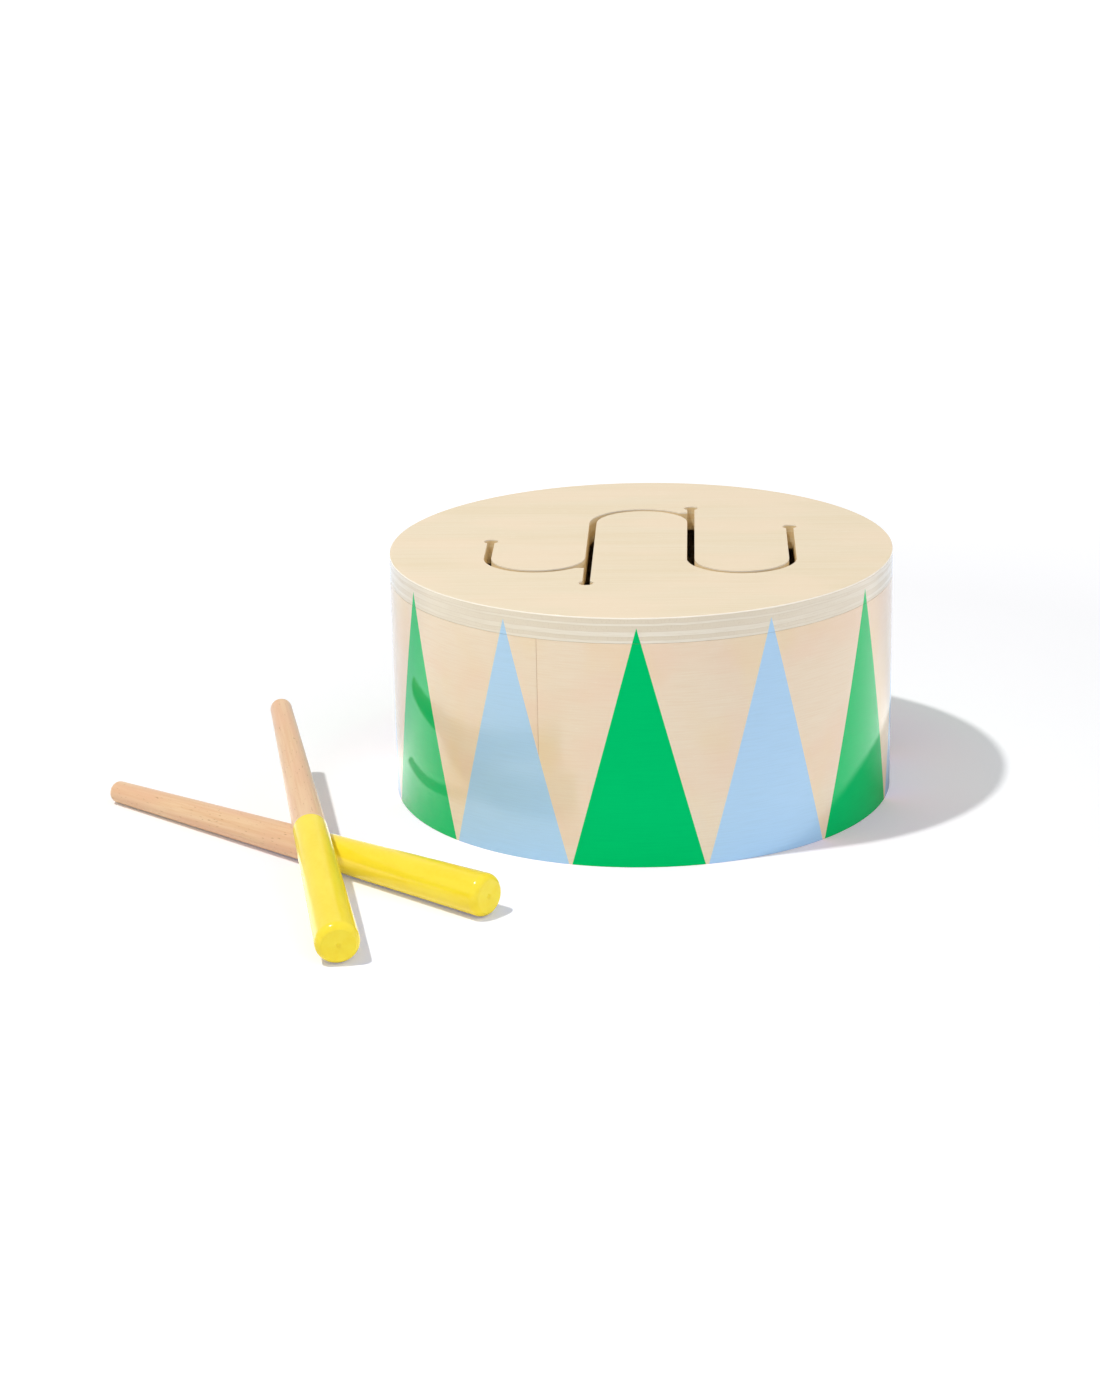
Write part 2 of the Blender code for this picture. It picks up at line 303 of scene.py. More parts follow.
class Finish:
    """A material in the making: a Principled shader and the piece's own coordinates."""

    def __init__(self, name: str, gloss: Gloss) -> None:
        """Start a material.

        Args:
            name: What the finish is.
            gloss: How it shines.
        """
        self.material = bpy.data.materials.new(name)
        self.material.use_nodes = True
        self.tree = self.material.node_tree
        self.shader = self.tree.nodes["Principled BSDF"]
        self.shader.inputs["Metallic"].default_value = 0.0
        self.shader.inputs["Roughness"].default_value = gloss.roughness
        self.shader.inputs["IOR"].default_value = gloss.ior
        self.shader.inputs["Specular IOR Level"].default_value = gloss.level
        self.place = add_node(self.tree, "TexCoord").outputs["Object"]

    def strength(self, marks: Marks, place: Source) -> Node:
        """Work out how much marks show at each point, and raise the surface where they have relief.

        Args:
            marks: The marks.
            place: Coordinates of the pattern, in metres.

        Returns:
            The node that gives their share.
        """
        tree = self.tree
        spread = add_node(tree, "Mapping", {"Vector": place, "Location": (marks.shift,) * 3,
                                            "Scale": [1 / (side * MM) for side in marks.size]})
        noise = add_node(tree, "TexNoise", {"Vector": spread, "Scale": 1.0, "Detail": marks.detail})
        if marks.relief:
            raised = add_node(tree, "Bump", {"Height": noise, "Strength": 1.0, "Distance": marks.relief * MM})
            feed(tree, raised, self.shader.inputs["Normal"])
        return add_node(tree, "MapRange", {"Value": noise, "From Min": marks.low, "From Max": marks.high,
                                           "To Max": marks.share}, interpolation_type='SMOOTHSTEP')

    def laid(self, under: Colour | Source, layers: Iterable[Marks], place: Source) -> Source:
        """Lay marks over a colour.

        Args:
            under: The colour, or what gives it.
            layers: The marks, the lowest first.
            place: Coordinates of the pattern, in metres.

        Returns:
            What gives the colour with its marks.
        """
        for marks in layers:
            share = self.strength(marks, place)
            under = add_node(self.tree, "Mix", {0: share, 6: under, 7: linear(marks.tone)}, data_type='RGBA')
        return under

    def coloured(self, colour: Source) -> Material:
        """Give the surface its colour, which ends the material."""
        feed(self.tree, colour, self.shader.inputs["Base Color"])
        return self.material


@dataclass(frozen=True)
class Coat:
    """A finish of one ground colour with marks laid over it.

    Attributes:
        name: What it is.
        ground: Its ground colour, as sRGB hex.
        gloss: How it shines.
        layers: Its marks, the lowest first.
        mirror: Colour of its reflection where it is looked at straight on, as sRGB hex.
    """

    name: str
    ground: str
    gloss: Gloss
    layers: tuple[Marks, ...]
    mirror: str = "FFFFFF"

    def build(self, lie: Callable[[Finish], Source]) -> Material:
        """Make the material.

        Args:
            lie: What gives the pattern's coordinates.

        Returns:
            The material.
        """
        made = Finish(self.name, self.gloss)
        made.shader.inputs["Specular Tint"].default_value = linear(self.mirror)
        return made.coloured(made.laid(linear(self.ground), self.layers, lie(made)))


def flat(made: Finish) -> Source:
    """Give the piece's own coordinates, for a flat sheet whose grain runs along X."""
    return made.place


# Clear gloss lacquer, sprayed: a sharp mirror image of the table on the dense green ink and the sawn edge,
# and a softer one where it sinks a little into bare wood and thin pale ink.
LACQUER = Gloss(0.05, ior=1.46)
SUNK_LACQUER = Gloss(0.14, ior=1.46)

# Rotary-cut birch face veneer, sanded fine and sealed matt: pale and even, with faint streaks along X, wide
# soft bands of another tone and a few pale flecks.
SEALED_BIRCH = Coat("sealed_birch_veneer", "EDDDBF", Gloss(0.55, level=0.42), (
    Marks("E4CFA6", (45, 1.1, 1.1), 0.36, 0.35, 0.75, detail=3, relief=0.01),
    Marks("E4CFA6", (180, 9.9, 42), 0.2, 0.42, 0.66, shift=3),
    Marks("F2DDBF", (42, 29.4, 42), 0.6, 0.4, 0.65, detail=1, shift=7),
    Marks("FBF0DA", (5, 0.5, 0.5), 0.5, 0.68, 0.76, detail=1, shift=11),
))

# Thin birch face of the bent wall under the lacquer: fine streaks and short pale ticks that run round the
# drum, over large soft patches of pinkish and of yellowish wood.
LACQUERED_BIRCH = Coat("lacquered_birch_wall", "EDDABE", SUNK_LACQUER, (
    Marks("E6CAA7", (14, 0.5, 0.5), 0.4, 0.35, 0.75, detail=3, relief=0.006),
    Marks("EFCDAF", (38.4, 24, 24), 0.5, 0.38, 0.66, shift=4),
    Marks("EDD3A0", (28.8, 24, 36), 0.35, 0.48, 0.72, shift=8),
    Marks("F6E9D2", (2.5, 0.5, 0.35), 0.35, 0.66, 0.76, detail=1, shift=13),
))

# Uncoated plywood inside the drum: as pale as the faces but rough, with open grain along X. It gives the dark
# in the slots its brown.
RAW_PLY = Coat("raw_plywood", "F4E2C0", Gloss(0.75, level=0.25), (
    Marks("DDC08E", (30, 1, 1), 0.8, 0.35, 0.75, detail=4, relief=0.03),
    Marks("EBD2A6", (30, 30, 30), 0.6, 0.4, 0.65, shift=6),
))

# Dried wood glue in the wall's butt seam, under the lacquer: a fine pinkish brown line of uneven depth.
DRIED_GLUE = Coat("glued_seam", "C6977A", Gloss(0.3), (
    Marks("D9B293", (2, 2, 6), 1.0, 0.35, 0.65),
))

# Beech, turned and sanded, under a thin satin oil: pinkish tan, with streaks and short dark flecks along the
# stick.
OILED_BEECH = Coat("oiled_beech", "EBC69B", Gloss(0.36, ior=1.5), (
    Marks("E0B184", (1.1, 1.1, 26), 0.75, 0.35, 0.7, detail=3, relief=0.02),
    Marks("E7B791", (6, 6, 38), 0.7, 0.4, 0.68, shift=5),
    Marks("A87447", (0.5, 0.5, 2.6), 0.55, 0.66, 0.76, detail=1, shift=9),
))

# Thick yellow gloss enamel, dipped: smooth and level, a little deeper where it ran thick, with a slight
# orange peel.
DIPPED_ENAMEL = Coat("dipped_yellow_enamel", "FCE53A", Gloss(0.18, ior=1.37), (
    Marks("FADF30", (5, 5, 14), 1.0, 0.35, 0.7),
    Marks("FFE945", (1.4, 1.4, 1.4), 0.15, 0.4, 0.6, detail=1, shift=4, relief=0.015),
))


class Paint(Enum):
    """Screen-printed inks under the lacquer, in the order that they follow each other round the drum.

    Flat and clean, with the veneer's streaks just felt. The green swallows the red of what it mirrors.
    """

    GREEN = Coat("lacquered_green_print", "00C068", LACQUER, (
        Marks("00BC66", (14, 0.5, 0.5), 1.0, 0.35, 0.75, detail=3, relief=0.006),
    ), mirror="00F59B")
    BLUE = Coat("lacquered_blue_print", "ADD3F0", SUNK_LACQUER, (
        Marks("AACFEB", (14, 0.5, 0.5), 1.0, 0.35, 0.75, detail=3, relief=0.006),
    ))


@dataclass(frozen=True)
class PlyEdge:
    """Sawn edge of birch plywood: plies with the grain show pale side grain, plies across it grey end grain.

    Attributes:
        name: What the finish is.
        top: Height of the sheet's upper face.
        gloss: How it shines.
        side_grain: Colour where the fibres run along the edge, as sRGB hex.
        end_grain: Colour where they end at it.
        glue_line: Colour of the thin line between two plies.
        highlight_tone: Colour of the painted highlight along the arris above them, standing in for the shine
            of its rounding.
        arris: Width of that arris.
        plies: Thickness of each ply from the upper face down, every second one laid across.
        waviness: How far the plies sway up and down.
        wave_length: How far they run before they sway back.
        blur: Half the width of a glue line.
        glue_share: How much of its colour shows.
        highlight_share: How much of the painted highlight's colour shows.
    """

    name: str
    top: float
    gloss: Gloss
    side_grain: str
    end_grain: str
    glue_line: str
    highlight_tone: str = "FFF6E4"
    arris: float = 0.55 * MM
    plies: tuple[float, ...] = (0.6 * MM, 1.7 * MM, 1.0 * MM, 2.2 * MM, 1.9 * MM, 1.4 * MM, 1.2 * MM)
    waviness: float = 0.6 * MM
    wave_length: float = 18 * MM
    blur: float = 0.12 * MM
    glue_share: float = 0.5
    highlight_share: float = 0.9

    def stack(self, made: Finish, depth: Source) -> Node:
        """Give the stack of plies at each depth.

        Args:
            made: The finish.
            depth: Depth under the upper face.

        Returns:
            A ramp whose colour is 0 in the plies along X and 1 in those across, with glue lines as its alpha.
        """
        whole = sum(self.plies)
        share = add_node(made.tree, "Math", {0: depth, 1: whole}, operation='DIVIDE')
        ramp = add_node(made.tree, "ValToRGB", {0: share})
        stops = ramp.color_ramp.elements
        stops[0].color = (0, 0, 0, 0)
        bottom = 0.0
        for number, ply in enumerate(self.plies[:-1]):
            bottom += ply
            upper, lower = number % 2, (number + 1) % 2
            for side, crossed, glue in ((-1, upper, 0), (0, 0.5, 1), (1, lower, 0)):
                stop = stops.new((bottom + side * self.blur) / whole)
                stop.color = (crossed, crossed, crossed, glue)
            stops[-1].color = (lower, lower, lower, 0)
        return ramp

    def build(self) -> Material:
        """Make the material.

        Returns:
            The material.
        """
        made = Finish(self.name, self.gloss)
        tree = made.tree
        height = add_node(tree, "SeparateXYZ", {0: made.place}).outputs["Z"]
        straight = add_node(tree, "Math", {0: self.top, 1: height}, operation='SUBTRACT')
        wave = add_node(tree, "TexNoise", {"Vector": made.place, "Scale": 1 / self.wave_length})
        sway = add_node(tree, "MapRange", {"Value": wave, "To Min": -self.waviness, "To Max": self.waviness})
        stack = self.stack(made, add_node(tree, "Math", {0: straight, 1: sway}, operation='ADD')).outputs
        facing = add_node(tree, "SeparateXYZ", {0: add_node(tree, "TexCoord").outputs["Normal"]}).outputs
        along_x, along_y = (add_node(tree, "Math", {0: facing[axis], 1: 2.0}, operation='POWER')
                            for axis in "XY")
        ends = add_node(tree, "Mix", {0: stack["Color"], 2: along_x, 3: along_y})

        fibres = Marks(self.end_grain, (8, 8, 0.5), 0.45, 0.4, 0.7, detail=3, shift=5, relief=0.02)
        pores = made.strength(Marks(self.glue_line, (0.6, 0.6, 0.9), 0.25, 0.55, 0.7, shift=9), made.place)
        wood = add_node(tree, "Mix", {0: ends, 6: linear(self.side_grain), 7: linear(self.end_grain)},
                        data_type='RGBA')
        wood = made.laid(wood, [fibres], made.place)
        open_ends = add_node(tree, "Math", {0: pores, 1: ends}, operation='MULTIPLY')
        lines = add_node(tree, "Math", {0: stack["Alpha"], 1: self.glue_share}, operation='MULTIPLY')
        dark = add_node(tree, "Math", {0: open_ends, 1: lines}, operation='MAXIMUM')
        # Painted highlight: the top of the edge, over the arris's width, is lightened to stand in for the
        # shine of its rounding.
        highlight_band = add_node(tree, "MapRange", {"Value": straight, "From Min": 0.7 * self.arris,
                                           "From Max": self.arris, "To Min": self.highlight_share, "To Max": 0.0})
        for share, tone in ((dark, self.glue_line), (highlight_band, self.highlight_tone)):
            wood = add_node(tree, "Mix", {0: share, 6: wood, 7: linear(tone)}, data_type='RGBA')
        return made.coloured(wood)


@dataclass(frozen=True)
class BentSheet:
    """The wall's sheet, on which grain and print were laid flat before it was bent.

    Attributes:
        radius: Radius that it was bent to.
        seam_angle: Where its ends meet, which is also where its pattern ends.
    """

    radius: float
    seam_angle: float

    def unrolled(self, made: Finish) -> Source:
        """Give coordinates on the flat sheet.

        Args:
            made: The finish.

        Returns:
            Distance round the wall from the seam's far side, distance from the axis, and height.
        """
        turned = add_node(made.tree, "Mapping", {"Vector": made.place, "Rotation": (0, 0, -self.seam_angle)})
        axes = add_node(made.tree, "SeparateXYZ", {0: turned}).outputs
        behind = add_node(made.tree, "Math", {0: axes["X"], 1: -1.0}, operation='MULTIPLY')
        angle = add_node(made.tree, "Math", {0: behind, 1: axes["Y"]}, operation='ARCTAN2')
        arc = add_node(made.tree, "Math", {0: angle, 1: self.radius}, operation='MULTIPLY')
        level = add_node(made.tree, "CombineXYZ", {0: axes["X"], 1: axes["Y"]})
        away = add_node(made.tree, "VectorMath", {0: level}, operation='LENGTH')
        return add_node(made.tree, "CombineXYZ", {0: arc, 1: away, 2: axes["Z"]})


@dataclass(frozen=True)
class StickPlace:
    """Where a stick lies.

    Attributes:
        head: Centre of its head's face.
        turn: Rotation that takes +Z from the head towards the tail.
    """

    head: Vector
    turn: Matrix

    @classmethod
    def of_node(cls, node: str) -> "StickPlace":
        """Read a packed stick's place from its mesh.

        Args:
            node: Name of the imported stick.

        Returns:
            Its place.
        """
        points = np.array([v.co for v in frame["nodes"][node].data.vertices])
        points = np.unique(points.round(6), axis=0)
        middle = points.mean(0)
        axis = np.linalg.svd(points - middle)[2][0]
        along = (points - middle) @ axis
        away = np.linalg.norm(points - middle - np.outer(along, axis), axis=1)
        if away[along > 0].max() > away[along < 0].max():
            axis, along = -axis, -along
        head = middle + axis * (along.min() + END_ROOM)
        return cls(Vector(head), Vector(axis).to_track_quat('Z', 'Y').to_matrix())

    def matrix(self) -> Matrix:
        """Give the transform from a stick's own frame to its place."""
        return Matrix.Translation(self.head) @ self.turn.to_4x4()

    def own_frame(self, made: Finish) -> Source:
        """Give a finish the stick's own coordinates, with Z along it."""
        undo = {"Vector": made.place, "Location": self.head, "Rotation": self.turn.to_euler()}
        return add_node(made.tree, "Mapping", undo, vector_type='TEXTURE')


@dataclass
class TrianglePrint:
    """The ring of tall triangles printed on the wall, whose tips run up onto the top's edge.

    Attributes:
        radius: Radius of the surface that they are printed on.
        count: Number of triangles, the first at the front.
        height: Height of their tips.
        space: Gap between two triangles at the foot.
        rim_depth: How far in from the surface the eased rims reach.
        flattest: Least part of a face's normal along Z for which the face counts as flat.
    """

    radius: float
    count: int = 12
    height: float = 94.5 * MM
    space: float = 1.2 * MM
    rim_depth: float = 0.3 * MM
    flattest: float = 0.95

    def on_surface(self, face: BMFace, outward: Vector) -> bool:
        """Say whether a face is on the round outside or its eased rims, near the direction of one triangle.

        Args:
            face: The face.
            outward: The triangle's direction.

        Returns:
            Whether it is.
        """
        middle = face.calc_center_median()
        outside = middle.xy.length > self.radius - self.rim_depth and face.normal.dot(middle) > 0
        near = middle.xy.normalized().dot(outward.xy) > cos(2 * pi / self.count)
        return near and outside and abs(face.normal.z) < self.flattest

    def apply(self, bm: BMesh, first: int) -> None:
        """Cut the triangles' sides into the outside and number their faces' materials.

        Args:
            bm: The piece.
            first: Number of the first paint's material.
        """
        pitch = 2 * pi / self.count
        half_base = self.radius * sin(pitch / 2 - self.space / (2 * self.radius))
        bm.normal_update()
        for index in range(self.count):
            outward = around(index * pitch, 1.0, 0.0)
            sideways = Vector((-outward.y, outward.x, 0.0))
            tip = outward * self.radius + Vector((0, 0, self.height))
            for side in (-1, 1):
                faces = [f for f in bm.faces if self.on_surface(f, outward)]
                slant = sideways * side * half_base - Vector((0, 0, self.height))
                cut_along(bm, faces, tip, outward.cross(slant).normalized())
            for face in [f for f in bm.faces if self.on_surface(f, outward)]:
                middle = face.calc_center_median()
                if abs(middle.dot(sideways)) < half_base * (1 - middle.z / self.height):
                    face.material_index = first + index % len(Paint)


@dataclass
class SlottedTop:
    """The plywood top with its winding slot, two branches, four relief holes and two blunted corners.

    Attributes:
        radius: Radius of the drum.
        low: Height of the underside.
        high: Height of the struck face.
        printed: The print whose tips run up onto its edge.
        rim_arris: Width of the eased upper rim.
        joint_arris: Width of the eased lower rim, at the joint with the wall.
        slot_arris: Width of the slots' eased edges.
        slot_width: Width of the slot.
        slot_pitch: Distance between its straight runs.
        relief_radius: Radius of the holes at its four ends.
        left_bend_y: Where the left bend's centre lies along Y, and so on for the other bends and ends.
        cusp_flat: How much of each sharp corner is taken off.
        round_steps: Faces round the plate, and so on for the bends and the relief holes.
        margin: How far the cutters stand out of the plate.
        rim_flattest: Least part of a rim face's normal along Z for which the face counts as flat.
        slot_flattest: The same for a face in the slots.
    """

    radius: float
    low: float
    high: float
    printed: TrianglePrint
    rim_arris: float = 0.5 * MM
    joint_arris: float = 0.08 * MM
    slot_arris: float = 0.2 * MM
    slot_width: float = 3.0 * MM
    slot_pitch: float = 40.0 * MM
    relief_radius: float = 2.9 * MM
    left_bend_y: float = -17.0 * MM
    middle_bend_y: float = 34.0 * MM
    right_bend_y: float = -20.0 * MM
    left_end_y: float = 7.0 * MM
    front_end_y: float = -53.5 * MM
    rear_end_y: float = 56.5 * MM
    right_end_y: float = 26.5 * MM
    cusp_flat: float = 3.6 * MM
    round_steps: int = 240
    bend_steps: int = 56
    relief_steps: int = 40
    margin: float = 2.0 * MM
    rim_flattest: float = 0.8
    slot_flattest: float = 0.5

    def blank(self) -> Mesh:
        """Make the round plate before it is slotted, its rims eased.

        Returns:
            Its mesh.
        """
        bm = bmesh.new()
        add_disc(bm, self.radius, self.low, self.high, self.round_steps)
        ease(bm, rim_edges(bm, self.radius, self.high), self.rim_arris, 3)
        ease(bm, rim_edges(bm, self.radius, self.low), self.joint_arris, 1)
        return finished_mesh(bm, "top_blank")

    def winding_run(self) -> Mesh:
        """Sweep the slot's section from the left relief to the right one.

        Returns:
            The cutter's mesh.
        """
        bm = bmesh.new()
        bottom, top = self.low - self.margin, self.high + self.margin
        middle, half, pitch = -1.5 * self.slot_pitch, self.slot_width / 2, self.slot_pitch
        left, right = middle - half, middle + half
        section = ((left, bottom), (right, bottom), (right, top), (left, top))
        ring = add_outline(bm, [(x, self.left_end_y, z) for x, z in section])
        ring = self.straight(bm, ring, self.left_bend_y - self.left_end_y)
        ring = self.bend(bm, ring, (-pitch, self.left_bend_y, 0), pi)
        ring = self.straight(bm, ring, self.middle_bend_y - self.left_bend_y)
        ring = self.bend(bm, ring, (0, self.middle_bend_y, 0), -pi)
        ring = self.straight(bm, ring, self.right_bend_y - self.middle_bend_y)
        ring = self.bend(bm, ring, (pitch, self.right_bend_y, 0), pi)
        self.straight(bm, ring, self.right_end_y - self.right_bend_y)
        bmesh.ops.holes_fill(bm, edges=[e for e in bm.edges if e.is_boundary])
        return finished_mesh(bm, "winding_run")

    @staticmethod
    def straight(bm: BMesh, ring: list[BMEdge], travel: float) -> list[BMEdge]:
        """Extrude the section along Y.

        Args:
            bm: The slot.
            ring: The section's edges.
            travel: Distance along Y.

        Returns:
            The new section's edges.
        """
        made = bmesh.ops.extrude_edge_only(bm, edges=ring)["geom"]
        bmesh.ops.translate(bm, verts=[v for v in made if isinstance(v, BMVert)], vec=(0, travel, 0))
        return [e for e in made if isinstance(e, BMEdge)]

    def bend(self, bm: BMesh, ring: list[BMEdge], centre: Sequence[float], angle: float) -> list[BMEdge]:
        """Turn the section about an upright axis.

        Args:
            bm: The slot.
            ring: The section's edges.
            centre: A point on the axis.
            angle: Angle of the turn.

        Returns:
            The new section's edges.
        """
        corners = list({v for e in ring for v in e.verts})
        made = bmesh.ops.spin(bm, geom=[*corners, *ring], cent=centre, axis=(0, 0, 1), angle=angle,
                              steps=self.bend_steps, use_duplicate=False)["geom_last"]
        return [e for e in made if isinstance(e, BMEdge)]

    def through(self, name: str, outline: Sequence[tuple[float, float]]) -> Mesh:
        """Extrude a plan outline right through the plate.

        Args:
            name: Name of the cutter.
            outline: Its corners in plan.

        Returns:
            The cutter's mesh.
        """
        bm = bmesh.new()
        bottom = self.low - self.margin
        foot = bm.faces.new([bm.verts.new((x, y, bottom)) for x, y in outline])
        made = bmesh.ops.extrude_face_region(bm, geom=[foot])["geom"]
        bmesh.ops.translate(bm, verts=[v for v in made if isinstance(v, BMVert)],
                            vec=(0, 0, self.high - self.low + 2 * self.margin))
        return finished_mesh(bm, name)

    def relief(self, name: str, x: float, y: float) -> Mesh:
        """Make the cutter of a relief hole.

        Args:
            name: Name of the cutter.
            x: Its place along X.
            y: Its place along Y.

        Returns:
            The cutter's mesh.
        """
        bm = bmesh.new()
        bottom, top = self.low - self.margin, self.high + self.margin
        add_disc(bm, self.relief_radius, bottom, top, self.relief_steps, x, y)
        return finished_mesh(bm, name)

    def blunted_corner(self, name: str, centre: tuple[float, float], away: int) -> Mesh:
        """Make the cutter that blunts the sharp corner where a bend runs into a branch.

        Args:
            name: Name of the cutter.
            centre: The bend's centre in plan.
            away: 1 or -1 along Y, from the centre towards the branch.

        Returns:
            The cutter's mesh.
        """
        middle, half = self.slot_pitch / 2, self.slot_width / 2
        outer = middle + half
        flat_x = middle - half - self.cusp_flat
        flat_y = (outer ** 2 - flat_x ** 2) ** 0.5
        tip_y = (outer ** 2 - (middle - half) ** 2) ** 0.5 - half
        corners = [(flat_x * middle / outer, flat_y * middle / outer), (flat_x, flat_y),
                   (middle, flat_y), (middle, tip_y)]
        return self.through(name, [(centre[0] + x, centre[1] + away * y) for x, y in corners])

    def branch(self, name: str, x: float, start: float, end: float) -> Mesh:
        """Make the cutter of a straight branch at X, from one place along Y to another."""
        left, right = x - self.slot_width / 2, x + self.slot_width / 2
        return self.through(name, [(left, start), (right, start), (right, end), (left, end)])

    def cutters(self) -> list[Mesh]:
        """Make everything that is cut through the plate.

        Returns:
            The cutters' meshes.
        """
        inner, outer = self.slot_pitch / 2, 1.5 * self.slot_pitch
        return [
            self.winding_run(),
            self.branch("front_branch", -inner, self.front_end_y, self.left_bend_y),
            self.branch("rear_branch", inner, self.middle_bend_y, self.rear_end_y),
            self.blunted_corner("front_corner", (-self.slot_pitch, self.left_bend_y), -1),
            self.blunted_corner("rear_corner", (0.0, self.middle_bend_y), 1),
            self.relief("left_relief", -outer, self.left_end_y),
            self.relief("front_relief", -inner, self.front_end_y),
            self.relief("rear_relief", inner, self.rear_end_y),
            self.relief("right_relief", outer, self.right_end_y),
        ]

    def slotted(self) -> Mesh:
        """Cut the slots and ease their edges.

        Returns:
            The plate's mesh.
        """
        plate = show(self.blank())
        tools = bpy.data.collections.new("slot_cutters")
        for mesh in self.cutters():
            tools.objects.link(bpy.data.objects.new(mesh.name, mesh))
        cut = plate.modifiers.new("slots", 'BOOLEAN')
        cut.operation, cut.solver = 'DIFFERENCE', 'EXACT'
        cut.operand_type, cut.collection = 'COLLECTION', tools
        arris = plate.modifiers.new("slot_arris", 'BEVEL')
        arris.width, arris.segments, arris.profile = self.slot_arris, 2, 0.5
        arris.limit_method, arris.angle_limit = 'ANGLE', CORNER
        graph = bpy.context.evaluated_depsgraph_get()
        mesh = bpy.data.meshes.new_from_object(plate.evaluated_get(graph))
        for item in [*tools.objects, plate]:
            bpy.data.objects.remove(item)
        bpy.data.collections.remove(tools)
        return mesh

    def build(self, veneer: Material, edge: Material, routed: Material,
              paints: Sequence[Material]) -> Piece:
        """Make the slotted plate.

        Args:
            veneer: Finish of its faces.
            edge: Finish of its outer edge.
            routed: Finish of the slots' walls.
            paints: Finishes of the print.

        Returns:
            The piece.
        """
        bm = bmesh.new()
        bm.from_mesh(self.slotted())
        bmesh.ops.remove_doubles(bm, verts=bm.verts, dist=MERGE)
        rim = self.radius - 1.5 * self.rim_arris
        for face in bm.faces:
            outside = face.calc_center_median().xy.length > rim
            flattest, side = (self.rim_flattest, 1) if outside else (self.slot_flattest, 2)
            face.material_index = side if abs(face.normal.z) < flattest else 0
        self.printed.apply(bm, 3)
        return finished_piece(bm, "slotted_top", [veneer, edge, routed, *paints])


@dataclass
class BentWall:
    """The wall, a sheet of thin plywood bent round until its ends meet in a butt seam.

    Attributes:
        radius: Radius of its outside.
        inner_radius: Radius of its inside.
        low: Height of its foot.
        high: Height of its upper edge.
        printed: The print on it.
        seam_angle: Where its ends meet.
        seam_width: Width of the line that is left open between them.
        seam_depth: How deep the lacquer leaves that line.
        foot_arris: Width of the eased foot.
        joint_arris: Width of the eased upper rim, at the joint with the top.
        round_steps: Faces round the wall.
        seam_reach: How far round from the seam its two lines are cut in.
        facing: How much of a face's normal lies along a direction where it counts as facing that way.
    """

    radius: float
    inner_radius: float
    low: float
    high: float
    printed: TrianglePrint
    seam_angle: float
    seam_width: float = 0.22 * MM
    seam_depth: float = 0.2 * MM
    foot_arris: float = 0.2 * MM
    joint_arris: float = 0.08 * MM
    round_steps: int = 240
    seam_reach: float = radians(2.0)
    facing: float = 0.9

    def ring(self) -> BMesh:
        """Spin the wall's section right round, with its rims eased and the seam's two lines cut in.

        Returns:
            The wall.
        """
        bm = bmesh.new()
        outline = [(self.inner_radius, self.low), (self.radius, self.low),
                   (self.radius, self.high), (self.inner_radius, self.high)]
        add_outline(bm, [around(self.seam_angle, *point) for point in outline])
        spin_round(bm, self.round_steps)
        bmesh.ops.remove_doubles(bm, verts=bm.verts, dist=MERGE)
        bmesh.ops.recalc_face_normals(bm, faces=bm.faces)
        ease(bm, rim_edges(bm, self.radius, self.high), self.joint_arris, 1)
        ease(bm, rim_edges(bm, self.radius, self.low), self.foot_arris, 2)
        out, across = self.seam_ways()
        for side in (-1, 1):
            near = [f for f in bm.faces
                    if f.calc_center_median().xy.normalized().dot(out.xy) > cos(self.seam_reach)]
            cut_along(bm, near, across * side * self.seam_width / 2, across)
        return bm

    def seam_ways(self) -> tuple[Vector, Vector]:
        """Give the direction out of the drum at the seam, and the one across the seam."""
        return around(self.seam_angle, 1.0, 0.0), around(self.seam_angle + pi / 2, 1.0, 0.0)

    def open_seam(self, bm: BMesh, glue: int) -> None:
        """Sink the seam's narrow faces where no print bridges them.

        Args:
            bm: The wall.
            glue: Number of the glue's material.
        """
        out, across = self.seam_ways()
        bm.normal_update()
        faces = []
        for face in bm.faces:
            middle = face.calc_center_median()
            narrow = abs(middle.dot(across)) < self.seam_width / 2 and middle.dot(out) > 0
            if narrow and face.normal.dot(out) > self.facing and face.material_index == 0:
                faces.append(face)
        bmesh.ops.inset_region(bm, faces=faces, thickness=self.seam_width / 8, depth=-self.seam_depth)
        for face in faces:
            face.material_index = glue

    def build(self, veneer: Material, raw: Material, glue: Material,
              paints: Sequence[Material]) -> Piece:
        """Make the wall.

        Args:
            veneer: Finish of its outside.
            raw: Finish of its inside and its edges.
            glue: Finish of the seam.
            paints: Finishes of the print.

        Returns:
            The piece.
        """
        bm = self.ring()
        bm.normal_update()
        for face in bm.faces:
            outside = face.calc_center_median().xy.length > self.radius - self.foot_arris
            face.material_index = 0 if outside and abs(face.normal.z) < self.facing else 1
        self.printed.apply(bm, 3)
        self.open_seam(bm, 2)
        return finished_piece(bm, "bent_wall", [veneer, raw, glue, *paints])


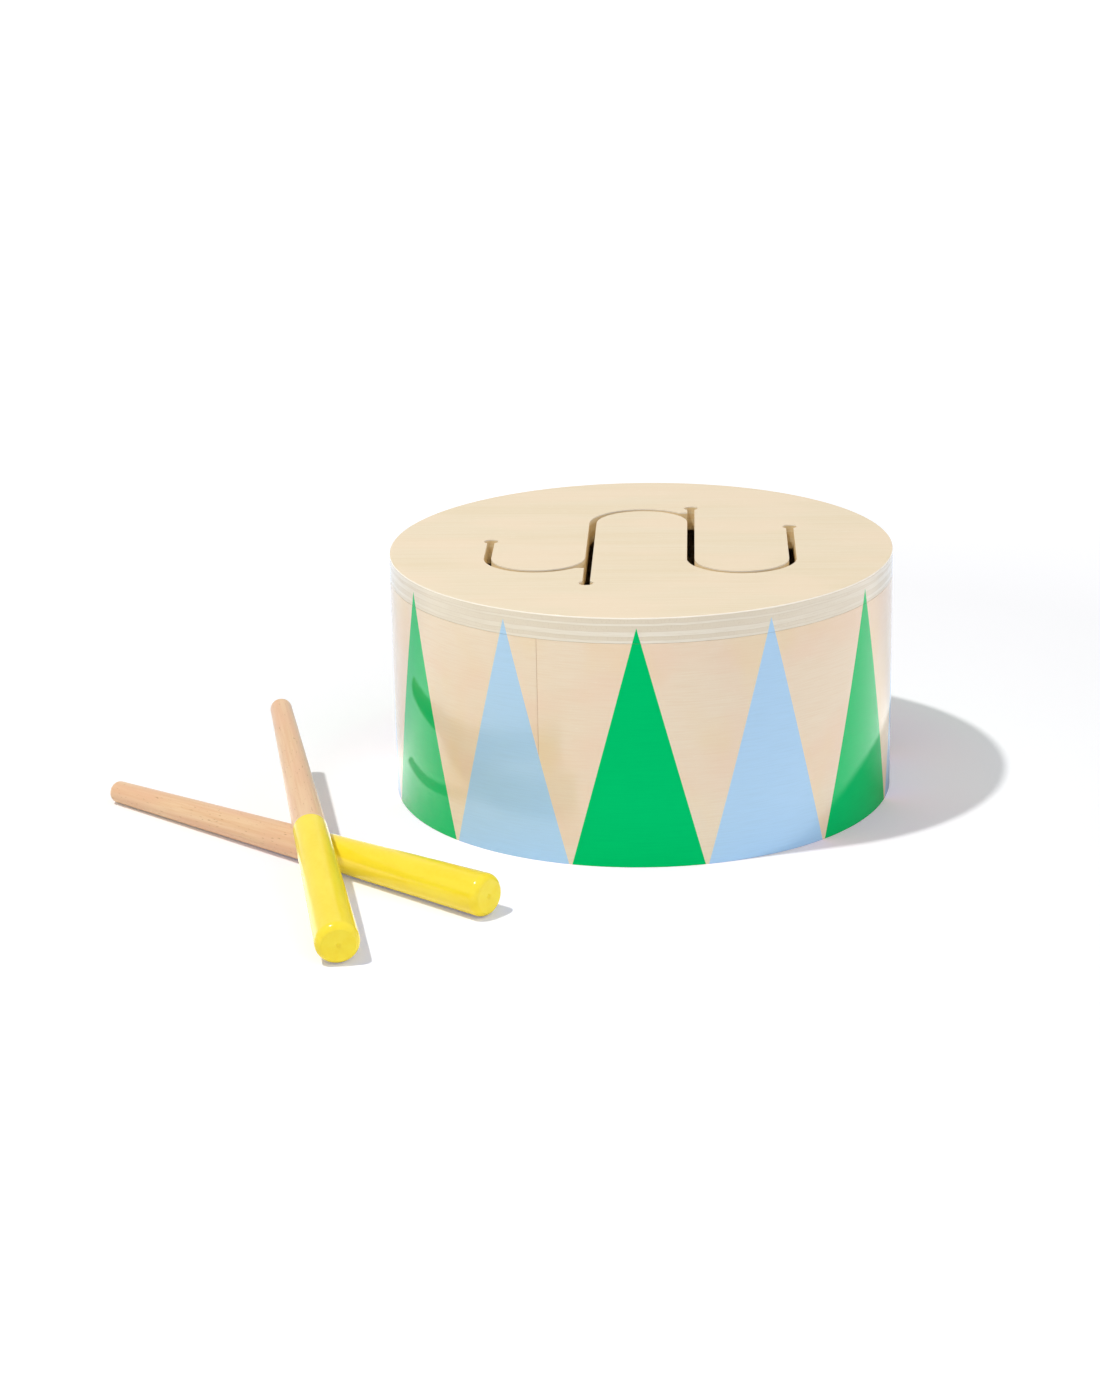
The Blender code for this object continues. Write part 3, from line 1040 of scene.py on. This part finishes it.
@dataclass
class DrumInside:
    """What closes and stiffens the drum out of sight: the bottom plate and the batten behind the seam.

    Attributes:
        plate_radius: Radius of the bottom plate.
        plate_high: Height of its upper face.
        batten_low: Height of the batten's lower end.
        batten_high: Height of its upper end.
        seam_angle: Where the wall's ends meet.
        batten_width: Width of the batten.
        batten_thickness: Its thickness.
        arris: Width of the eased edges.
        round_steps: Faces round the plate.
        batten_steps: Faces along the batten.
    """

    plate_radius: float
    plate_high: float
    batten_low: float
    batten_high: float
    seam_angle: float
    batten_width: float = 28.0 * MM
    batten_thickness: float = 3.0 * MM
    arris: float = 0.3 * MM
    round_steps: int = 240
    batten_steps: int = 24

    def bottom_plate(self, wood: Material) -> Piece:
        """Make the round plate that is let into the wall's foot.

        Args:
            wood: Its finish.

        Returns:
            The piece.
        """
        bm = bmesh.new()
        add_disc(bm, self.plate_radius, 0.0, self.plate_high, self.round_steps)
        ease(bm, rim_edges(bm, self.plate_radius, 0.0), self.arris, 2)
        return finished_piece(bm, "let_in_bottom", [wood])

    def batten(self, wood: Material) -> Piece:
        """Make the bent strip that is glued behind the seam.

        Args:
            wood: Its finish.

        Returns:
            The piece.
        """
        bm = bmesh.new()
        width = self.batten_width / self.plate_radius
        inner = self.plate_radius - self.batten_thickness
        outline = [(inner, self.batten_low), (self.plate_radius, self.batten_low),
                   (self.plate_radius, self.batten_high), (inner, self.batten_high)]
        corners = [bm.verts.new(around(self.seam_angle - width / 2, *point)) for point in outline]
        face = bm.faces.new(corners)
        bmesh.ops.spin(bm, geom=[face, *face.edges, *face.verts], cent=(0, 0, 0), axis=(0, 0, 1), angle=width,
                       steps=self.batten_steps, use_duplicate=False)
        bmesh.ops.recalc_face_normals(bm, faces=bm.faces)
        ease(bm, [e for e in bm.edges if e.is_manifold and e.calc_face_angle() > CORNER], self.arris, 2)
        return finished_piece(bm, "seam_strip", [wood])


@dataclass
class DippedStick:
    """A turned stick: a straight taper, a flat head, a domed tail, and a thick dip of paint.

    Attributes:
        place: Where it lies.
        length: Its length.
        head_radius: Radius at the head, over the paint.
        tail_radius: The same taper's radius at the tail.
        head_rounding: How far in from the side the head's rounding reaches.
        crease: Angle between the flat face and the rounding where they meet.
        tail_dome: Length of the domed tail.
        mark_radius: Radius of the lathe centre's mark.
        mark_depth: Its depth.
        dip_length: How far the paint reaches from the head's face.
        paint_thickness: Thickness of the paint.
        bead_length: Length of the rounded end of the paint.
        bead: How far each point of that end is from its edge, and how deep it is under the paint's face, as
            shares of its length and of the paint's thickness.
        round_steps: Faces round the stick.
        corner_steps: Rings in each rounding.
        rings: Rings in each straight part.
    """

    place: StickPlace
    length: float = 201.96 * MM
    head_radius: float = 8.23 * MM
    tail_radius: float = 4.38 * MM
    head_rounding: float = 2.1 * MM
    crease: float = radians(25.0)
    tail_dome: float = 3.0 * MM
    mark_radius: float = 1.2 * MM
    mark_depth: float = 0.9 * MM
    dip_length: float = 90.5 * MM
    paint_thickness: float = 0.09 * MM
    bead_length: float = 0.5 * MM
    bead: tuple[tuple[float, float], ...] = ((1.0, 0.0), (0.5, 0.1), (0.15, 0.45), (0.0, 1.0))
    round_steps: int = 96
    corner_steps: int = 12
    rings: int = 12

    def radius_at(self, distance: float) -> float:
        """Give the paint's radius at a distance from the head's face."""
        return self.head_radius + (self.tail_radius - self.head_radius) * distance / self.length

    def profile(self) -> list[tuple[float, float]]:
        """Work out the half section, from the centre of the head's face to the tip of the tail.

        Returns:
            Radius and distance from the head's face, point by point.
        """
        points = [(0.0, self.mark_depth), (0.5 * self.mark_radius, 0.6 * self.mark_depth),
                  (self.mark_radius, 0.0), (0.5 * self.head_radius, 0.0)]
        curve = self.head_rounding / (1 - sin(self.crease))
        side_start = curve * cos(self.crease)
        corner = self.radius_at(side_start)
        for step in range(self.corner_steps + 1):
            turn = self.crease + (pi / 2 - self.crease) * step / self.corner_steps
            points.append((corner - curve * (1 - sin(turn)), side_start - curve * cos(turn)))
        for ring in range(1, self.rings):
            distance = side_start + (self.dip_length - side_start) * ring / self.rings
            points.append((self.radius_at(distance), distance))
        for share, drop in self.bead:
            distance = self.dip_length - self.bead_length * share
            points.append((self.radius_at(distance) - self.paint_thickness * drop, distance))
        dome_start = self.length - self.tail_dome
        for ring in range(1, self.rings + 1):
            distance = self.dip_length + (dome_start - self.dip_length) * ring / self.rings
            points.append((self.radius_at(distance) - self.paint_thickness, distance))
        dome = self.radius_at(dome_start) - self.paint_thickness
        for step in range(1, self.corner_steps + 1):
            turn = pi / 2 * step / self.corner_steps
            points.append((dome * cos(turn), dome_start + self.tail_dome * sin(turn)))
        return points

    def build(self, name: str, beech: Material, enamel: Material) -> Piece:
        """Make the stick in its place.

        Args:
            name: Name of the piece.
            beech: Finish of its bare wood.
            enamel: Finish of its dipped head.

        Returns:
            The piece.
        """
        bm = bmesh.new()
        points = [bm.verts.new((radius, 0.0, distance)) for radius, distance in self.profile()]
        for pair in zip(points, points[1:]):
            bm.edges.new(pair)
        spin_round(bm, self.round_steps)
        for face in bm.faces:
            face.material_index = 0 if face.calc_center_median().z > self.dip_length else 1
        bmesh.ops.transform(bm, matrix=self.place.matrix(), verts=bm.verts)
        return finished_piece(bm, name, [beech, enamel])


@dataclass
class Studio:
    """White table top and surroundings, a small hard lamp at the upper left, and the camera.

    Attributes:
        key_place: Place of the lamp.
        key_power: Its power in watts.
        key_radius: Its radius, which softens the shadow's edge.
        low_sky: Light from the horizon.
        high_sky: Light from straight above.
        side_sky: Light added from the side.
        side_way: Direction of that side.
        side_tone: Colour of the light from there.
        mirror_sky: How much of the even light falls on what is seen in a mirror image, to keep shadows dark.
        floor_white: Colour of the table top, as sRGB hex.
        floor_lift: Light added to the table top where it is looked at, near the drum.
        far_lift: The same far from it, where the lamp's light falls off.
        far_reach: Distances from the drum's axis between which it changes.
        mirror_front: Table top's tone in a mirror image, where its white doesn't clip.
        mirror_back: The same for the part behind the drum, which the drum's outer edges mirror.
        mirror_turn: Sines of the angles past the drum's sides between which the tone changes.
        mirror_skew: How much sooner it changes at the left than at the right.
        mirror_reach: Distance from the table at which a mirroring surface shows that tone in full.
        shadow_middle: Middle of the shadow that the drum's top throws on the table.
        shadow_radius: Its radius.
        shadow_blur: Half the width of its soft edge.
        shadow_depth: How bright the shadow is in a mirror image, in front of the drum's middle.
        shadow_back: The same behind it.
        shadow_turn: Places along Y between which that changes.
        stick_heads: Middle of the two painted heads, whose yellow light on the table is cancelled.
        heads_reach: Distances from there between which that fades.
        drum_reach: Distances from the drum's axis between which the light of the triangles fades.
        anti_yellow: Tint of the lift that cancels the yellow light.
        anti_green: Tint of the lift that cancels the green light at the foot of a green triangle.
        anti_blue: Tint of the lift that cancels the blue light at the foot of a blue one.
        green_turns: Number of green triangles round the drum, one of them at the front.
        left_lift: Tint of the lift added at the drum's left foot, where the table is fully lit.
        left_reach: Distances from the drum's axis between which that fades.
        left_side: Places along X between which it fades.
        floor_radius: Radius of the table top.
        floor_steps: Sides of its outline.
        eye: Place of the camera.
        yaw: Its turn towards +X.
        pitch: How far it looks down.
        roll: How far it is turned about its line of sight.
        sensor: Longer side of the film, in millimetres.
        focal_pixels: Its focal length in the photograph's pixels.
        frame_height: Height of the photograph in pixels.
    """

    key_place: Place = (-0.88, -0.42, 2.07)
    key_power: float = 110.0
    key_radius: float = 0.044
    low_sky: float = 0.59
    high_sky: float = 0.20
    side_sky: float = 0.73
    side_way: Place = (0.866, -0.5, 0.0)
    side_tone: Colour = (0.99, 1.0, 1.11, 1.0)
    mirror_sky: float = 0.4
    floor_white: str = "FBFBFB"
    floor_lift: float = 0.10
    far_lift: float = 0.75
    far_reach: Reach = (0.30, 1.4)
    mirror_front: Colour = (2.6, 2.6, 2.6, 1.0)
    mirror_back: Colour = (1.32, 1.44, 1.61, 1.0)
    mirror_turn: Reach = (0.2, 0.5)
    mirror_skew: float = -0.15
    mirror_reach: float = 0.06
    shadow_middle: Place = (0.044, 0.021, 0.0)
    shadow_radius: float = 0.105
    shadow_blur: float = 0.004
    shadow_depth: float = 0.12
    shadow_back: float = 1.2
    shadow_turn: Reach = (-0.02, 0.05)
    stick_heads: Place = (-0.078, -0.165, 0.0)
    heads_reach: Reach = (0.02, 0.14)
    drum_reach: Reach = (0.105, 0.15)
    anti_yellow: Colour = (0.3, 0.6, 2.1, 1.0)
    anti_green: Colour = (1.35, 0.0, 1.0, 1.0)
    anti_blue: Colour = (1.1, 0.5, 0.0, 1.0)
    green_turns: float = 6.0
    left_lift: Colour = (1.0, 0.9, 1.2, 1.0)
    left_reach: Reach = (0.10, 0.135)
    left_side: Reach = (-0.04, 0.04)
    floor_radius: float = 9.0
    floor_steps: int = 64
    eye: Place = (0.02280, -1.18748, 0.42839)
    yaw: float = radians(-2.896)
    pitch: float = radians(18.135)
    roll: float = radians(-1.200)
    sensor: float = 36.0
    focal_pixels: float = 3089.5
    frame_height: float = 1375.0

    @staticmethod
    def looked_at(tree: Tree) -> Node:
        """Give one for rays that see the white surroundings, and zero for the light on the object.

        Args:
            tree: Node tree.

        Returns:
            The switch.
        """
        path = add_node(tree, "LightPath").outputs
        seen = path[Ray.CAMERA.value]
        for ray in (Ray.GLOSSY, Ray.TRANSMISSION):
            seen = add_node(tree, "Math", {0: seen, 1: path[ray.value]}, operation='MAXIMUM')
        return seen

    def table_white(self, tree: Tree, place: Socket) -> Node:
        """Give the table top its white, with a tone set by place where it is seen in a mirror image.

        Args:
            tree: The table's node tree.
            place: Places on the table.

        Returns:
            The node that gives its colour.
        """
        white = linear(self.floor_white)
        away = add_node(tree, "VectorMath", {0: place}, operation='LENGTH')
        axes = add_node(tree, "SeparateXYZ", {0: place}).outputs
        skewed = add_node(tree, "Math", {0: axes["X"], 1: self.mirror_skew, 2: axes["Y"]},
                          operation='MULTIPLY_ADD')
        turned = add_node(tree, "Math", {0: skewed, 1: away}, operation='DIVIDE')
        side, rear = self.mirror_turn
        behind = add_node(tree, "MapRange", {"Value": turned, "From Min": side, "From Max": rear},
                          interpolation_type='SMOOTHSTEP')
        tone = add_node(tree, "Mix", {0: behind, 6: self.mirror_front, 7: self.mirror_back}, data_type='RGBA')
        path = add_node(tree, "LightPath").outputs
        clear = add_node(tree, "MapRange", {"Value": path["Ray Length"], "From Max": self.mirror_reach})
        tone = add_node(tree, "Mix", {0: clear, 6: white, 7: tone}, data_type='RGBA')

        front, back = self.shadow_turn
        depth = add_node(tree, "MapRange", {"Value": axes["Y"], "From Min": front, "From Max": back,
                                            "To Min": self.shadow_depth, "To Max": self.shadow_back})
        inwards = add_node(tree, "VectorMath", {0: place, 1: self.shadow_middle}, operation='DISTANCE')
        inner, outer = self.shadow_radius - self.shadow_blur, self.shadow_radius + self.shadow_blur
        shade = add_node(tree, "MapRange", {"Value": inwards, "From Min": inner, "From Max": outer,
                                            "To Min": depth})
        shine = add_node(tree, "VectorMath", {0: tone, "Scale": shade}, operation='SCALE')
        return add_node(tree, "Mix", {0: path[Ray.GLOSSY.value], 6: white, 7: shine}, data_type='RGBA')

    def table_glow(self, tree: Tree, place: Socket) -> Node:
        """Give the light that is added to the table top where it is looked at, which cancels coloured light.

        Args:
            tree: The table's node tree.
            place: Places on the table.

        Returns:
            The node that gives it.
        """
        away = add_node(tree, "VectorMath", {0: place}, operation='LENGTH')
        heads = add_node(tree, "VectorMath", {0: place, 1: self.stick_heads}, operation='DISTANCE')
        reaches = (heads, self.heads_reach), (away, self.drum_reach), (away, self.left_reach)
        near_heads, near_drum, near_foot = (
            add_node(tree, "MapRange", {"Value": gap, "From Min": near, "From Max": far, "To Min": 1.0,
                                        "To Max": 0.0}) for gap, (near, far) in reaches)
        axes = add_node(tree, "SeparateXYZ", {0: place}).outputs
        left, right = self.left_side
        at_left = add_node(tree, "MapRange", {"Value": axes["X"], "From Min": left, "From Max": right,
                                              "To Min": near_foot, "To Max": 0.0})
        round_drum = add_node(tree, "Math", {0: axes["Y"], 1: axes["X"]}, operation='ARCTAN2')
        turns = add_node(tree, "Math", {0: round_drum, 1: self.green_turns}, operation='MULTIPLY')
        wave = add_node(tree, "Math", {0: turns}, operation='COSINE')
        by_blue = add_node(tree, "MapRange", {"Value": wave, "From Min": -1.0, "From Max": 1.0})
        foot = add_node(tree, "Mix", {0: by_blue, 6: self.anti_green, 7: self.anti_blue}, data_type='RGBA')
        tint = linear("FFFFFF")
        for share, colour, way in ((near_heads, self.anti_yellow, 'MIX'), (near_drum, foot, 'MIX'),
                                   (at_left, self.left_lift, 'ADD')):
            tint = add_node(tree, "Mix", {0: share, 6: tint, 7: colour}, data_type='RGBA', blend_type=way)
        near, far = self.far_reach
        glare = add_node(tree, "MapRange", {"Value": away, "From Min": near, "From Max": far,
                                            "To Min": self.floor_lift, "To Max": self.far_lift})
        lift = add_node(tree, "Math", {0: self.looked_at(tree), 1: glare}, operation='MULTIPLY')
        return add_node(tree, "Emission", {"Color": tint, "Strength": lift})

    def floor(self) -> Piece:
        """Lay the table top, which keeps the object's shadow.

        Returns:
            The table top.
        """
        material = bpy.data.materials.new("matt_white_table")
        material.use_nodes = True
        tree = material.node_tree
        tree.nodes.clear()
        place = add_node(tree, "TexCoord").outputs["Object"]
        board = add_node(tree, "BsdfDiffuse", {"Color": self.table_white(tree, place)})
        both = add_node(tree, "AddShader", {0: board, 1: self.table_glow(tree, place)})
        add_node(tree, "OutputMaterial", {"Surface": both})
        bm = bmesh.new()
        bmesh.ops.create_circle(bm, cap_ends=True, segments=self.floor_steps, radius=self.floor_radius)
        floor = show(finished_mesh(bm, "table_top"), [material])
        return floor

    def sky(self) -> None:
        """Light the scene evenly, more from the sides than from above, and show white where it is seen."""
        world = bpy.data.worlds.new("white_studio")
        bpy.context.scene.world = world
        world.use_nodes = True
        tree = world.node_tree
        tree.nodes.clear()
        way = add_node(tree, "TexCoord").outputs["Generated"]
        height = add_node(tree, "SeparateXYZ", {0: way}).outputs["Z"]
        even = add_node(tree, "MapRange", {"Value": height, "To Min": self.low_sky, "To Max": self.high_sky})
        aside = add_node(tree, "VectorMath", {0: way, 1: self.side_way}, operation='DOT_PRODUCT')
        side = add_node(tree, "MapRange", {"Value": aside, "To Max": self.side_sky})
        light = add_node(tree, "Math", {0: even, 1: side}, operation='ADD')
        mirrored = add_node(tree, "MapRange", {"Value": add_node(tree, "LightPath").outputs["Glossy Depth"],
                                               "To Min": 1.0, "To Max": self.mirror_sky})
        light = add_node(tree, "Math", {0: light, 1: mirrored}, operation='MULTIPLY')
        strength = add_node(tree, "Mix", {0: self.looked_at(tree), 2: light, 3: 1.0})
        tone = add_node(tree, "Mix", {0: aside, 6: linear("FFFFFF"), 7: self.side_tone}, data_type='RGBA')
        background = add_node(tree, "Background", {"Color": tone, "Strength": strength})
        add_node(tree, "OutputWorld", {"Surface": background})

    def key(self) -> None:
        """Place the lamp."""
        lamp = bpy.data.lights.new("key", 'POINT')
        lamp.energy, lamp.shadow_soft_size = self.key_power, self.key_radius
        holder = bpy.data.objects.new("key", lamp)
        holder.location = self.key_place
        bpy.context.scene.collection.objects.link(holder)

    def camera(self) -> None:
        """Place the camera as in the photograph."""
        ahead = Vector((sin(self.yaw) * cos(self.pitch), cos(self.yaw) * cos(self.pitch), -sin(self.pitch)))
        right = ahead.cross(Vector((0, 0, 1))).normalized()
        up = right.cross(ahead)
        rolled_right = cos(self.roll) * right + sin(self.roll) * up
        rolled_up = cos(self.roll) * up - sin(self.roll) * right
        data = bpy.data.cameras.new("camera")
        data.sensor_width = self.sensor
        data.lens = self.focal_pixels / self.frame_height * self.sensor
        data.clip_end = 4 * self.floor_radius
        camera = bpy.data.objects.new("camera", data)
        turn = Matrix((rolled_right, rolled_up, -ahead)).transposed().to_4x4()
        camera.matrix_world = Matrix.Translation(self.eye) @ turn
        bpy.context.scene.collection.objects.link(camera)
        bpy.context.scene.camera = camera

    def build(self) -> None:
        """Set the stage."""
        bpy.context.scene.view_settings.view_transform = 'Standard'
        self.floor()
        self.sky()
        self.key()
        self.camera()


def fit(piece: Piece, node: str, body: str) -> None:
    """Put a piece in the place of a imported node.

    Args:
        piece: The piece.
        node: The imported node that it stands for.
        body: The body that it rides on.
    """
    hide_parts(node)
    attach(piece, body)
    log.info("%s: %d faces, stands for %s", piece.name, len(piece.data.polygons), node)


def build_drum(seam_angle: float, joint: float, glue_gap: float) -> None:
    """Build the drum's four pieces.

    Args:
        seam_angle: Where the wall's ends meet.
        joint: Width of the joint line between wall and top.
        glue_gap: Gap between the wall and what is glued inside it.
    """
    top_low, top_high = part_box("top_plate")
    wall_low, wall_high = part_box("shell")
    plate_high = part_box("bottom_plate")[1]
    batten_low, batten_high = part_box("seam_batten")
    radius = wall_high.x
    sheet = BentSheet(radius, seam_angle)
    paints = [paint.value.build(sheet.unrolled) for paint in Paint]
    printed = TrianglePrint(radius)
    raw = RAW_PLY.build(flat)
    # The top's sawn edge under the lacquer, and the same plies left bare and a little fuzzy by the router.
    edge = PlyEdge("lacquered_plywood_edge", top_high.z, LACQUER, "EDE4D1", "E0D3BA", "C8B598").build()
    bare = Gloss(0.7, level=0.2)
    routed = PlyEdge("routed_plywood_edge", top_high.z, bare, "FBE9C2", "F4DCAC", "E2C38E").build()

    top = SlottedTop(radius, top_low.z, top_high.z, printed)
    fit(top.build(SEALED_BIRCH.build(flat), edge, routed, paints), "top_plate", "drum")
    wall = BentWall(radius, plate_high.x + glue_gap, wall_low.z, top_low.z - joint, printed, seam_angle)
    veneer, glue = LACQUERED_BIRCH.build(sheet.unrolled), DRIED_GLUE.build(flat)
    fit(wall.build(veneer, raw, glue, paints), "shell", "drum")
    inside = DrumInside(plate_high.x, plate_high.z, batten_low.z, batten_high.z, seam_angle)
    fit(inside.bottom_plate(raw), "bottom_plate", "drum")
    fit(inside.batten(raw), "seam_batten", "drum")


def build_sticks() -> None:
    """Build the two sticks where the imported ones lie."""
    for node in ("lower_stick", "upper_stick"):
        place = StickPlace.of_node(node)
        stick = DippedStick(place)
        beech, enamel = OILED_BEECH.build(place.own_frame), DIPPED_ENAMEL.build(place.own_frame)
        piece = stick.build(f"turned_{node}", beech, enamel)
        fit(piece, node, f"{node}_body")


def main() -> None:
    """Build the drum, the sticks and the studio."""
    logging.basicConfig(level=logging.INFO, format="%(name)s: %(message)s")
    build_drum(seam_angle=radians(-22.0), joint=0.04 * MM, glue_gap=0.3 * MM)
    build_sticks()
    Studio().build()


if __name__ == "__main__":
    main()
